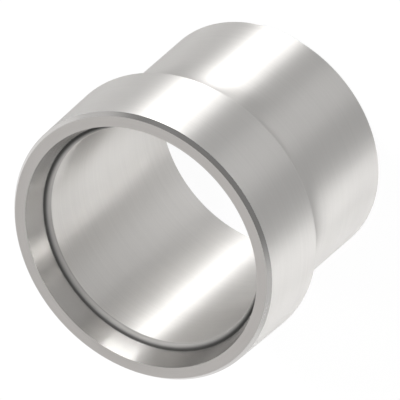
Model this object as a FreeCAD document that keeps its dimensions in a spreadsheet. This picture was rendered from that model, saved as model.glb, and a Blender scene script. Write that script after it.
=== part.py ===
import FreeCAD, Part
import math
import os
import Sketcher

# Flare tube sleeve: a one-piece steel ring, turned from bar, that backs up the flared end of a tube.
# The tube passes through the bore and its flare rests in the tapered mouth. A nut slips over the tail
# and presses on the sloped shoulder behind the collar.
# All lengths are in millimetres. The origin is the centre of the tail's end face, on which the sleeve
# stands, and +Z runs along the bore to the flare end.

NODE = "sleeve"

SIZES = [
    ("TubeDiameter", 19.05, "outside diameter of the tube"),
    ("TubeClearance", 0.15, "bore diameter less tube diameter"),
    ("SleeveLength", 20.0, "tail end to front face"),
    ("TailWall", 0.775, "wall of the plain tail"),
    ("CollarRise", 1.595, "height of the collar's rear rim over the tail"),
    ("CollarLength", 7.2, "front face to the collar's rear rim"),
    ("CollarTaper", 0.9, "degrees that the collar's side leans in towards the front"),
    ("ShoulderAngle", 45.0, "degrees from the axis to the sloped shoulder"),
    ("ShoulderRadius", 0.4, "fillet at the shoulder's foot"),
    ("RimRadius", 0.1, "round on the collar's rear rim"),
    ("NoseDepth", 0.36, "length of the chamfer round the front face"),
    ("NoseAngle", 36.5, "degrees from the axis to that chamfer"),
    ("SeatDepth", 1.88, "depth of the tapered mouth"),
    ("SeatAngle", 17.0, "degrees from the axis to the tapered mouth"),
    ("ThroatRadius", 0.48, "round that leads from the mouth into the bore"),
    ("TailChamfer", 0.15, "chamfer outside the tail's end"),
    ("BoreBreak", 0.1, "chamfer inside the tail's end"),
]

# Numbers that a sketch gives to the ends and the centre of a line or an arc.
START, END, CENTRE = 1, 2, 3

doc = FreeCAD.newDocument("FlareTubeSleeve")


def make_sheet():
    """The driving dimensions, one to a row: a label, a number with its alias, and what it sizes."""
    sheet = doc.addObject("Spreadsheet::Sheet", "Sizes")
    for row, (alias, value, meaning) in enumerate(SIZES, start=1):
        sheet.set(f"A{row}", alias)
        sheet.set(f"B{row}", str(value))
        sheet.set(f"C{row}", meaning)
        sheet.setAlias(f"B{row}", alias)
    doc.recompute()


def origin_plane(body, role):
    """The body's own origin plane with this role."""
    for feature in body.Origin.OriginFeatures:
        if feature.Role == role:
            return feature
    raise ValueError(f"no origin plane {role}")


def draw_half_section(body):
    """Closed half-section in the XZ plane, where x is the radius and y the height over the tail's end.

    Returns the sketch and the corners whose edges are broken or filleted later.
    """
    sketch = body.newObject("Sketcher::SketchObject", "HalfSection")
    sketch.AttachmentSupport = (origin_plane(body, "XZ_Plane"), [""])
    sketch.MapMode = "FlatFace"

    # Rough corners, in order round the section. The constraints below carry them to their sizes.
    bore_tail = FreeCAD.Vector(9.6, 0, 0)
    tail_outer = FreeCAD.Vector(10.4, 0, 0)
    shoulder_foot = FreeCAD.Vector(10.4, 11.2, 0)
    rear_rim = FreeCAD.Vector(12.0, 12.8, 0)
    collar_front = FreeCAD.Vector(11.9, 19.6, 0)
    nose = FreeCAD.Vector(11.6, 20, 0)
    mouth = FreeCAD.Vector(10.7, 20, 0)
    seat_foot = FreeCAD.Vector(10.1, 18.1, 0)
    bore_front = FreeCAD.Vector(9.6, 17.6, 0)

    def line(start, end):
        return sketch.addGeometry(Part.LineSegment(start, end), False)

    tail_face = line(bore_tail, tail_outer)
    tail_side = line(tail_outer, shoulder_foot)
    shoulder = line(shoulder_foot, rear_rim)
    collar_side = line(rear_rim, collar_front)
    nose_chamfer = line(collar_front, nose)
    front_face = line(nose, mouth)
    seat = line(mouth, seat_foot)
    throat_centre = FreeCAD.Vector(seat_foot.x, bore_front.y, 0)
    throat_circle = Part.Circle(throat_centre, FreeCAD.Vector(0, 0, 1), seat_foot.y - bore_front.y)
    throat = sketch.addGeometry(Part.ArcOfCircle(throat_circle, math.pi / 2, math.pi), False)
    bore = line(bore_front, bore_tail)

    # The outline closes on itself. The throat's round leaves the seat's foot square to the axis and
    # runs into the bore without an edge.
    chain = [tail_face, tail_side, shoulder, collar_side, nose_chamfer, front_face, seat, throat]
    for edge, following in zip(chain, chain[1:]):
        sketch.addConstraint(Sketcher.Constraint("Coincident", edge, END, following, START))
    sketch.addConstraint(Sketcher.Constraint("Tangent", throat, END, bore, START))
    sketch.addConstraint(Sketcher.Constraint("Coincident", bore, END, tail_face, START))
    sketch.addConstraint(Sketcher.Constraint("Vertical", throat, START, throat, CENTRE))
    for level in (tail_face, front_face):
        sketch.addConstraint(Sketcher.Constraint("Horizontal", level))
    for upright in (tail_side, bore):
        sketch.addConstraint(Sketcher.Constraint("Vertical", upright))
    x_axis, origin = -1, (-1, START)
    sketch.addConstraint(Sketcher.Constraint("PointOnObject", tail_face, START, x_axis))

    def size(kind, name, expression, *ends):
        """A dimension between two points, or of one arc, that follows the sheet."""
        value = sketch.evalExpression(expression)
        index = sketch.addConstraint(Sketcher.Constraint(kind, *ends, value))
        sketch.renameConstraint(index, name)
        sketch.setExpression(f"Constraints.{name}", expression)

    size("DistanceX", "BoreRadius", "(Sizes.TubeDiameter + Sizes.TubeClearance) / 2",
         *origin, tail_face, START)
    size("DistanceX", "TailWall", "Sizes.TailWall", tail_face, START, tail_face, END)
    size("DistanceY", "SleeveLength", "Sizes.SleeveLength", *origin, front_face, START)
    size("DistanceX", "CollarRise", "Sizes.CollarRise", shoulder, START, shoulder, END)
    size("DistanceY", "ShoulderRun", "Sizes.CollarRise / tan(Sizes.ShoulderAngle)",
         shoulder, START, shoulder, END)
    size("DistanceY", "CollarLength", "Sizes.CollarLength", shoulder, END, front_face, START)
    size("DistanceX", "CollarLean", "(Sizes.CollarLength - Sizes.NoseDepth) * tan(Sizes.CollarTaper)",
         collar_side, END, collar_side, START)
    size("DistanceY", "NoseDepth", "Sizes.NoseDepth", nose_chamfer, START, nose_chamfer, END)
    size("DistanceX", "NoseWidth", "Sizes.NoseDepth * tan(Sizes.NoseAngle)",
         nose_chamfer, END, nose_chamfer, START)
    size("DistanceY", "SeatDepth", "Sizes.SeatDepth", seat, END, seat, START)
    size("DistanceX", "SeatWidth", "Sizes.SeatDepth * tan(Sizes.SeatAngle)", seat, END, seat, START)
    size("Radius", "ThroatRadius", "Sizes.ThroatRadius", throat)
    doc.recompute()

    corners = {
        "shoulder_foot": sketch.getPoint(shoulder, START),
        "rear_rim": sketch.getPoint(shoulder, END),
        "tail_outer": sketch.getPoint(tail_face, END),
        "tail_inner": sketch.getPoint(tail_face, START),
    }
    return sketch, corners


def ring_edge(feature, corner):
    """Name of the feature's circular edge that the section's corner sweeps round the axis."""
    near = 1e-4
    for number, edge in enumerate(feature.Shape.Edges, start=1):
        if isinstance(edge.Curve, Part.Circle):
            radius, height = edge.Curve.Radius, edge.Curve.Center.z
            if abs(radius - corner.x) < near and abs(height - corner.y) < near:
                return f"Edge{number}"
    raise ValueError(f"no ring of radius {corner.x:.3f} at height {corner.y:.3f}")


def dress_ring(body, kind, name, base, corner, alias):
    """A chamfer or a fillet on one ring, with its size from the sheet."""
    dressed = body.newObject(f"PartDesign::{kind}", name)
    dressed.Base = (base, [ring_edge(base, corner)])
    dressed.setExpression("Radius" if kind == "Fillet" else "Size", f"Sizes.{alias}")
    doc.recompute()
    return dressed


def make_sleeve():
    """The turned ring: one revolved section, its shoulder filleted and its sharp rims broken."""
    body = doc.addObject("PartDesign::Body", "Sleeve")
    body.Label = NODE
    section, corners = draw_half_section(body)

    turned = body.newObject("PartDesign::Revolution", "TurnedRing")
    turned.Profile = section
    turned.ReferenceAxis = (section, ["V_Axis"])
    turned.Angle = 360
    doc.recompute()

    foot = dress_ring(body, "Fillet", "ShoulderFillet", turned, corners["shoulder_foot"], "ShoulderRadius")
    rim = dress_ring(body, "Fillet", "RimRound", foot, corners["rear_rim"], "RimRadius")
    outer = dress_ring(body, "Chamfer", "TailEdge", rim, corners["tail_outer"], "TailChamfer")
    inner = dress_ring(body, "Chamfer", "BoreEdge", outer, corners["tail_inner"], "BoreBreak")
    body.Tip = inner
    body.Placement = FreeCAD.Placement()
    doc.recompute()
    return body


def check_document(body):
    """Stops the build if an object failed to recompute or the body isn't one sound solid."""
    for item in doc.Objects:
        if "Invalid" in item.State or "Error" in item.State:
            raise RuntimeError(f"{item.Name} did not recompute: {item.State}")
    if body.Shape.isNull() or not body.Shape.isValid() or len(body.Shape.Solids) != 1:
        raise RuntimeError(f"{body.Label} is not one valid solid")


make_sheet()
sleeve = make_sleeve()
check_document(sleeve)

os.makedirs("parts", exist_ok=True)
sleeve.Shape.exportStep(f"parts/{sleeve.Label}.step")
box = sleeve.Shape.optimalBoundingBox(True)
print(f"{sleeve.Label}: {box.XLength:.3f} x {box.YLength:.3f} x {box.ZLength:.3f} mm,"
      f" {sleeve.Shape.Volume:.2f} mm3")
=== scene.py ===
import math
import bmesh
import bpy
from mathutils import Matrix, Vector


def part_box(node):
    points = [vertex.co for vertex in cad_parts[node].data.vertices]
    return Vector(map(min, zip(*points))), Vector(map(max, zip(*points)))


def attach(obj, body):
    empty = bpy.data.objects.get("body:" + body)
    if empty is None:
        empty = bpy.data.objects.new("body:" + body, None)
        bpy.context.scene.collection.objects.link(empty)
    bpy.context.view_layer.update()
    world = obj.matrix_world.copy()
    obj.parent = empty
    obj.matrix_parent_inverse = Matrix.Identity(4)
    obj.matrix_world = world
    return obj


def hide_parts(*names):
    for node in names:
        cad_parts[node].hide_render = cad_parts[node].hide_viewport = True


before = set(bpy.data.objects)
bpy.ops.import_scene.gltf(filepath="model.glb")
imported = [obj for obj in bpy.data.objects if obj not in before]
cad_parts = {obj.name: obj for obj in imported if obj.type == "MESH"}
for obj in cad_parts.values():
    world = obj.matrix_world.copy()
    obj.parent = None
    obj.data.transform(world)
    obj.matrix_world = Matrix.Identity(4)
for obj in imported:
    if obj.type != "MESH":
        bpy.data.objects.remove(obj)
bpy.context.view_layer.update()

# The sleeve: one steel ring, turned on a lathe from bar. Its tail slides over the tube, its collar
# takes the push of the nut on the rear shoulder, and the flared tube end sits in the tapered mouth.
# Length and widest radius come from the frame; the other sizes are those of the part.
MM = 0.001
base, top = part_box("sleeve")
sleeve_length = top.z - base.z
collar_radius = (top.x - base.x) / 2
bore_radius = 9.6 * MM
tail_radius = 10.375 * MM
collar_length = 7.2 * MM
collar_lean = math.radians(0.9)
nose_depth = 0.36 * MM
nose_angle = math.radians(36.5)
seat_depth = 1.88 * MM
seat_angle = math.radians(17)
throat_round = 0.48 * MM
shoulder_slope = math.radians(45)
shoulder_round = 0.4 * MM
rim_round = 0.1 * MM
tail_chamfer = 0.15 * MM
bore_break = 0.1 * MM
turn_steps = 256
round_steps = 6
merge_reach = 0.001 * MM
crisp_angle = math.radians(20)

# The half section is drawn flat: the throat's round first, and from its top on through the mouth,
# down over the collar and the tail, and back up the bore. The collar's rear rim and the foot of
# the shoulder are then rounded, and the mouth and the nose keep the crisp edges of the cut.
collar_rear = sleeve_length - collar_length
collar_front = sleeve_length - nose_depth
collar_front_radius = collar_radius - math.tan(collar_lean) * (collar_front - collar_rear)
nose_radius = collar_front_radius - math.tan(nose_angle) * nose_depth
seat_foot_radius = bore_radius + throat_round
seat_foot = sleeve_length - seat_depth
throat_foot = seat_foot - throat_round
mouth_radius = seat_foot_radius + math.tan(seat_angle) * seat_depth
shoulder_foot = collar_rear - (collar_radius - tail_radius)
quarter_turn = math.pi / 2
section = bmesh.new()
throat_start = section.verts.new((bore_radius, 0, throat_foot))
bmesh.ops.spin(section, geom=[throat_start], cent=(seat_foot_radius, 0, throat_foot), axis=(0, 1, 0),
               angle=quarter_turn, steps=round_steps)
throat = list(section.verts)
corners = {
    "mouth": (mouth_radius, sleeve_length),
    "nose": (nose_radius, sleeve_length),
    "collar front": (collar_front_radius, collar_front),
    "collar rim": (collar_radius, collar_rear),
    "shoulder foot": (tail_radius, shoulder_foot),
    "tail": (tail_radius, tail_chamfer),
    "tail foot": (tail_radius - tail_chamfer, 0),
    "bore foot": (bore_radius + bore_break, 0),
    "bore": (bore_radius, bore_break),
}
points = {name: section.verts.new((radius, 0, height)) for name, (radius, height) in corners.items()}
section.faces.new(throat + list(points.values()))
for name, rounding in {"collar rim": rim_round, "shoulder foot": shoulder_round}.items():
    bmesh.ops.bevel(section, geom=[points[name]], offset=rounding * math.tan(shoulder_slope / 2),
                    offset_type="OFFSET", affect="VERTICES", segments=round_steps, profile=0.5, material=-1)
bmesh.ops.delete(section, geom=list(section.faces), context="FACES_ONLY")
bmesh.ops.spin(section, geom=list(section.verts) + list(section.edges), cent=(0, 0, 0), axis=(0, 0, 1),
               angle=math.tau, steps=turn_steps, use_merge=True)
bmesh.ops.remove_doubles(section, verts=list(section.verts), dist=merge_reach)
bmesh.ops.recalc_face_normals(section, faces=list(section.faces))
for face in section.faces:
    face.smooth = True
for edge in section.edges:
    edge.smooth = edge.calc_face_angle(0) < crisp_angle
sleeve_mesh = bpy.data.meshes.new("turned_sleeve")
section.to_mesh(sleeve_mesh)
section.free()
sleeve = bpy.data.objects.new("turned_sleeve", sleeve_mesh)
bpy.context.scene.collection.objects.link(sleeve)
even_shading = sleeve.modifiers.new("even_shading", "WEIGHTED_NORMAL")
even_shading.keep_sharp = True
bpy.context.view_layer.objects.active = sleeve
bpy.ops.object.modifier_apply(modifier=even_shading.name)
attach(sleeve, "root")
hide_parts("sleeve")


def off_axis(add, join, place):
    """Nodes for how a point lies off the sleeve's axis: the level vector to it, and its length."""
    level = add("ShaderNodeVectorMath")
    level.operation = "MULTIPLY"
    level.inputs[1].default_value = (1, 1, 0)
    join(place.outputs["Object"], level.inputs[0])
    radius = add("ShaderNodeVectorMath")
    radius.operation = "LENGTH"
    join(level.outputs["Vector"], radius.inputs[0])
    return level.outputs["Vector"], radius.outputs["Value"]


def turning_marks():
    """The rings that a lathe tool leaves, under a thin uneven film of oil: they follow the section
    and run round the axis, and vary a little in tone, roughness and height."""
    across_share = 0.6
    ring_wander = 0.8
    film_scale = 260
    film_share = 0.5
    middle = 0.5 + 0.5 * film_share
    group = bpy.data.node_groups.new("turning_marks", "ShaderNodeTree")
    face = group.interface
    face.new_socket("Colour", in_out="INPUT", socket_type="NodeSocketColor")
    face.new_socket("Roughness", in_out="INPUT", socket_type="NodeSocketFloat")
    face.new_socket("Spacing", in_out="INPUT", socket_type="NodeSocketFloat")
    face.new_socket("Tone", in_out="INPUT", socket_type="NodeSocketFloat")
    face.new_socket("Colour", in_out="OUTPUT", socket_type="NodeSocketColor")
    face.new_socket("Roughness", in_out="OUTPUT", socket_type="NodeSocketFloat")
    face.new_socket("Height", in_out="OUTPUT", socket_type="NodeSocketFloat")
    add, join = group.nodes.new, group.links.new
    given = add("NodeGroupInput")
    result = add("NodeGroupOutput")
    place = add("ShaderNodeTexCoord")
    level, radius = off_axis(add, join, place)

    # A count of rings along the section, across the flat faces as well as up the walls.
    split = add("ShaderNodeSeparateXYZ")
    join(place.outputs["Object"], split.inputs["Vector"])
    along = add("ShaderNodeMath")
    along.operation = "MULTIPLY_ADD"
    along.inputs[1].default_value = across_share
    join(radius, along.inputs[0])
    join(split.outputs["Z"], along.inputs[2])
    count = add("ShaderNodeMath")
    count.operation = "DIVIDE"
    join(along.outputs["Value"], count.inputs[0])
    join(given.outputs["Spacing"], count.inputs[1])
    rise = add("ShaderNodeCombineXYZ")
    join(count.outputs["Value"], rise.inputs["Z"])

    # Noise that is drawn out round the axis makes the rings, and a slow one makes the film.
    outward = add("ShaderNodeVectorMath")
    outward.operation = "NORMALIZE"
    join(level, outward.inputs[0])
    ring = add("ShaderNodeVectorMath")
    ring.operation = "MULTIPLY_ADD"
    ring.inputs[1].default_value = (ring_wander, ring_wander, ring_wander)
    join(outward.outputs["Vector"], ring.inputs[0])
    join(rise.outputs["Vector"], ring.inputs[2])
    marks = add("ShaderNodeTexNoise")
    marks.inputs["Scale"].default_value = 1
    marks.inputs["Detail"].default_value = 3
    marks.inputs["Roughness"].default_value = 0.6
    join(ring.outputs["Vector"], marks.inputs["Vector"])
    film = add("ShaderNodeTexNoise")
    film.inputs["Scale"].default_value = film_scale
    film.inputs["Detail"].default_value = 2
    join(place.outputs["Object"], film.inputs["Vector"])
    blend = add("ShaderNodeMath")
    blend.operation = "MULTIPLY_ADD"
    blend.inputs[1].default_value = film_share
    join(film.outputs["Fac"], blend.inputs[0])
    join(marks.outputs["Fac"], blend.inputs[2])

    # Both shift the tone and the roughness up and down about the values given.
    centred = add("ShaderNodeMath")
    centred.operation = "SUBTRACT"
    centred.inputs[1].default_value = middle
    join(blend.outputs["Value"], centred.inputs[0])
    shift = add("ShaderNodeMath")
    shift.operation = "MULTIPLY_ADD"
    shift.inputs[2].default_value = 1
    join(centred.outputs["Value"], shift.inputs[0])
    join(given.outputs["Tone"], shift.inputs[1])
    toned = add("ShaderNodeVectorMath")
    toned.operation = "SCALE"
    join(given.outputs["Colour"], toned.inputs["Vector"])
    join(shift.outputs["Value"], toned.inputs["Scale"])
    rough = add("ShaderNodeMath")
    rough.operation = "MULTIPLY"
    join(given.outputs["Roughness"], rough.inputs[0])
    join(shift.outputs["Value"], rough.inputs[1])
    join(toned.outputs["Vector"], result.inputs["Colour"])
    join(rough.outputs["Value"], result.inputs["Roughness"])
    join(marks.outputs["Fac"], result.inputs["Height"])
    return group


def steel(name, colour, roughness, stretch, spacing, tone, depth):
    """A finish of the sleeve: bare steel whose highlights stretch across its turning marks. Spacing
    and depth are those of the marks, and tone is how much they vary."""
    across_marks = 0.25
    material = bpy.data.materials.new(name)
    material.use_nodes = True
    add, join = material.node_tree.nodes.new, material.node_tree.links.new
    shader = material.node_tree.nodes["Principled BSDF"]
    shader.inputs["Metallic"].default_value = 1
    shader.inputs["Anisotropic"].default_value = stretch
    shader.inputs["Anisotropic Rotation"].default_value = across_marks
    tangent = add("ShaderNodeTangent")
    tangent.direction_type = "RADIAL"
    tangent.axis = "Z"
    join(tangent.outputs["Tangent"], shader.inputs["Tangent"])
    marks = add("ShaderNodeGroup")
    marks.name = "marks"
    marks.node_tree = bpy.data.node_groups.get("turning_marks") or turning_marks()
    marks.inputs["Colour"].default_value = (*colour, 1)
    marks.inputs["Roughness"].default_value = roughness
    marks.inputs["Spacing"].default_value = spacing
    marks.inputs["Tone"].default_value = tone
    bump = add("ShaderNodeBump")
    bump.inputs["Strength"].default_value = 1
    bump.inputs["Distance"].default_value = depth
    join(marks.outputs["Colour"], shader.inputs["Base Color"])
    join(marks.outputs["Roughness"], shader.inputs["Roughness"])
    join(marks.outputs["Height"], bump.inputs["Height"])
    join(bump.outputs["Normal"], shader.inputs["Normal"])
    return material


grey = (0.588, 0.576, 0.561)
# The bore's grey is the steel's grey painted lighter: painted light that brightens the bore's shaded walls.
painted_light_bore_grey = (0.664, 0.651, 0.634)
# The front face's grey is the steel's grey painted lighter: painted light that brightens the front face.
painted_light_face_grey = (0.655, 0.628, 0.606)
finishes = {
    "turned": steel("turned_steel", grey, roughness=0.46, stretch=1.0,
                    spacing=0.16 * MM, tone=0.12, depth=0.0006 * MM),
    "bored": steel("bored_steel", painted_light_bore_grey, roughness=0.41, stretch=1.0,
                   spacing=0.16 * MM, tone=0.12, depth=0.0006 * MM),
    "throat": steel("throat_steel", grey, roughness=0.7, stretch=0.5,
                    spacing=0.05 * MM, tone=0.05, depth=0.0003 * MM),
    "seat": steel("seat_steel", grey, roughness=0.26, stretch=1.0,
                  spacing=0.08 * MM, tone=0.08, depth=0.0003 * MM),
    "faced": steel("faced_steel", painted_light_face_grey, roughness=0.3, stretch=0.0,
                   spacing=0.12 * MM, tone=0.1, depth=0.0004 * MM),
    "nose": steel("nose_steel", grey, roughness=0.15, stretch=0.0,
                  spacing=0.05 * MM, tone=0.05, depth=0.0003 * MM),
}

# Painted shade in the corner at the seat's foot: the throat's colour is darkened towards the corner,
# from nearly the full steel tone at the bore to nearly black in the corner.
corner_shade_start = bore_radius - 0.3 * throat_round
corner_shade_end = bore_radius + 0.75 * throat_round
corner_shade_light = 0.95
corner_shade_dark = 0.09
nodes = finishes["throat"].node_tree.nodes
links = finishes["throat"].node_tree.links
radius = off_axis(nodes.new, links.new, nodes.new("ShaderNodeTexCoord"))[1]
painted_corner_shade = nodes.new("ShaderNodeMapRange")
painted_corner_shade.interpolation_type = "SMOOTHSTEP"
painted_corner_shade.inputs["From Min"].default_value = corner_shade_start
painted_corner_shade.inputs["From Max"].default_value = corner_shade_end
painted_corner_shade.inputs["To Min"].default_value = corner_shade_light
painted_corner_shade.inputs["To Max"].default_value = corner_shade_dark
links.new(radius, painted_corner_shade.inputs["Value"])
# The throat's colour times the painted corner shade.
corner_shaded_colour = nodes.new("ShaderNodeVectorMath")
corner_shaded_colour.operation = "SCALE"
links.new(nodes["marks"].outputs["Colour"], corner_shaded_colour.inputs["Vector"])
links.new(painted_corner_shade.outputs["Result"], corner_shaded_colour.inputs["Scale"])
links.new(corner_shaded_colour.outputs["Vector"], nodes["Principled BSDF"].inputs["Base Color"])
for material in finishes.values():
    sleeve_mesh.materials.append(material)


def finish_of(face):
    """The finish of a face, by where the face lies on the section."""
    nearly_level = 0.95
    middle = face.center
    radius = math.hypot(middle.x, middle.y)
    if radius < seat_foot_radius and middle.z < seat_foot:
        return "throat" if middle.z > throat_foot else "bored"
    if radius < mouth_radius and middle.z > seat_foot:
        return "seat"
    if middle.z > collar_front and radius > nose_radius:
        return "nose"
    if middle.z > collar_front or abs(face.normal.z) > nearly_level:
        return "faced"
    return "turned"


finish_names = list(finishes)
for face in sleeve_mesh.polygons:
    face.material_index = finish_names.index(finish_of(face))

# The floor: plain white card that the sleeve stands on by its tail. It shows as white to the camera
# and in the steel, and keeps the soft shadow under the tail.
floor_size = 2.0
card_grey = 0.8
glow_part = 0.95
floor_mesh = bpy.data.meshes.new("floor")
card = bmesh.new()
bmesh.ops.create_grid(card, x_segments=1, y_segments=1, size=floor_size)
card.to_mesh(floor_mesh)
card.free()
floor = bpy.data.objects.new("floor", floor_mesh)
bpy.context.scene.collection.objects.link(floor)
paper = bpy.data.materials.new("white_card")
paper.use_nodes = True
nodes = paper.node_tree.nodes
links = paper.node_tree.links
nodes.clear()
output = nodes.new("ShaderNodeOutputMaterial")
lit = nodes.new("ShaderNodeBsdfDiffuse")
lit.inputs["Color"].default_value = (card_grey, card_grey, card_grey, 1)
glow = nodes.new("ShaderNodeEmission")
glow.inputs["Strength"].default_value = 1
path = nodes.new("ShaderNodeLightPath")
camera_or_glossy = nodes.new("ShaderNodeMath")
camera_or_glossy.operation = "MAXIMUM"
links.new(path.outputs["Is Camera Ray"], camera_or_glossy.inputs[0])
links.new(path.outputs["Is Glossy Ray"], camera_or_glossy.inputs[1])
seen = nodes.new("ShaderNodeMath")
seen.operation = "MAXIMUM"
links.new(camera_or_glossy.outputs["Value"], seen.inputs[0])
links.new(path.outputs["Is Transmission Ray"], seen.inputs[1])
glow_share = nodes.new("ShaderNodeMath")
glow_share.operation = "MULTIPLY"
glow_share.inputs[1].default_value = glow_part
links.new(seen.outputs["Value"], glow_share.inputs[0])
card_mix = nodes.new("ShaderNodeMixShader")
links.new(glow_share.outputs["Value"], card_mix.inputs["Fac"])
links.new(lit.outputs["BSDF"], card_mix.inputs[1])
links.new(glow.outputs["Emission"], card_mix.inputs[2])
links.new(card_mix.outputs["Shader"], output.inputs["Surface"])
floor_mesh.materials.append(paper)


# The studio: a soft even surround, and six soft lamps whose places decide where the bright streaks
# run along the steel. The surround has a darker patch overhead, a little to the right of the
# camera, which is darkest within its core and fades out at its rim.
def toward(azimuth, elevation):
    """The direction from the sleeve to a place in the studio, from angles in degrees. Azimuth 0 is
    over the camera and grows to the right."""
    turn, rise = math.radians(azimuth), math.radians(elevation)
    return Vector((math.sin(turn) * math.cos(rise), -math.cos(turn) * math.cos(rise), math.sin(rise)))


surround = 0.76
overhead = 0.28
overhead_toward = toward(azimuth=15, elevation=60)
overhead_core = 0.55
overhead_rim = 0.18
world = bpy.data.worlds.new("studio")
bpy.context.scene.world = world
world.use_nodes = True
nodes = world.node_tree.nodes
links = world.node_tree.links
where = nodes.new("ShaderNodeTexCoord")
nearness = nodes.new("ShaderNodeVectorMath")
nearness.operation = "DOT_PRODUCT"
nearness.inputs[1].default_value = overhead_toward
links.new(where.outputs["Generated"], nearness.inputs[0])
spread = nodes.new("ShaderNodeMapRange")
spread.interpolation_type = "SMOOTHSTEP"
spread.inputs["From Min"].default_value = overhead_rim
spread.inputs["From Max"].default_value = overhead_core
spread.inputs["To Min"].default_value = surround
spread.inputs["To Max"].default_value = overhead
links.new(nearness.outputs["Value"], spread.inputs["Value"])
links.new(spread.outputs["Result"], nodes["Background"].inputs["Strength"])
nodes["Background"].inputs["Color"].default_value = (1, 1, 1, 1)
lamp_distance = 0.5


def lamp(name, azimuth, elevation, half_width, half_height, brightness):
    """A soft lamp aimed at the sleeve. The half sizes are angles, in degrees, as the sleeve sees the
    lamp. A brightness of 1 is white."""
    data = bpy.data.lights.new(name, "AREA")
    data.shape = "RECTANGLE"
    data.size = 2 * lamp_distance * math.tan(math.radians(half_width))
    data.size_y = 2 * lamp_distance * math.tan(math.radians(half_height))
    data.energy = brightness * math.pi * data.size * data.size_y
    source = bpy.data.objects.new(name, data)
    source.rotation_mode = "QUATERNION"
    source.rotation_quaternion = toward(azimuth, elevation).to_track_quat("Z", "Y")
    source.location = toward(azimuth, elevation) * lamp_distance
    bpy.context.scene.collection.objects.link(source)


lamp("right_panel", azimuth=74, elevation=55, half_width=6, half_height=8, brightness=54)
lamp("low_strip", azimuth=48, elevation=6, half_width=13, half_height=2.5, brightness=20)
lamp("left_strip", azimuth=262, elevation=54, half_width=14, half_height=5, brightness=17)
lamp("low_left_strip", azimuth=247, elevation=16, half_width=16, half_height=3, brightness=8.2)
lamp("back_strip", azimuth=128, elevation=65, half_width=5, half_height=23, brightness=5)
lamp("front_panel", azimuth=-5, elevation=52, half_width=12, half_height=6, brightness=6)

# The camera looks down on the mouth without perspective, rolled so that the mouth faces the lower
# left of the picture.
camera_elevation = math.radians(48.58)
camera_roll = math.radians(-130.9)
camera_aim = Vector((-0.23, 0, 10.9)) * MM
camera_distance = 150 * MM
picture_width = 31.85 * MM
tilt = Matrix.Rotation(math.pi / 2 - camera_elevation, 4, "X")
roll = Matrix.Rotation(camera_roll, 4, "Z")
stand_off = Matrix.Translation((0, 0, camera_distance))
camera_data = bpy.data.cameras.new("camera")
camera_data.type = "ORTHO"
camera_data.ortho_scale = picture_width
camera_data.clip_start = 0.01
camera_data.clip_end = 10
camera = bpy.data.objects.new("camera", camera_data)
camera.matrix_world = Matrix.Translation(camera_aim) @ tilt @ roll @ stand_off
bpy.context.scene.collection.objects.link(camera)
bpy.context.scene.camera = camera
bpy.context.scene.view_settings.view_transform = "Standard"
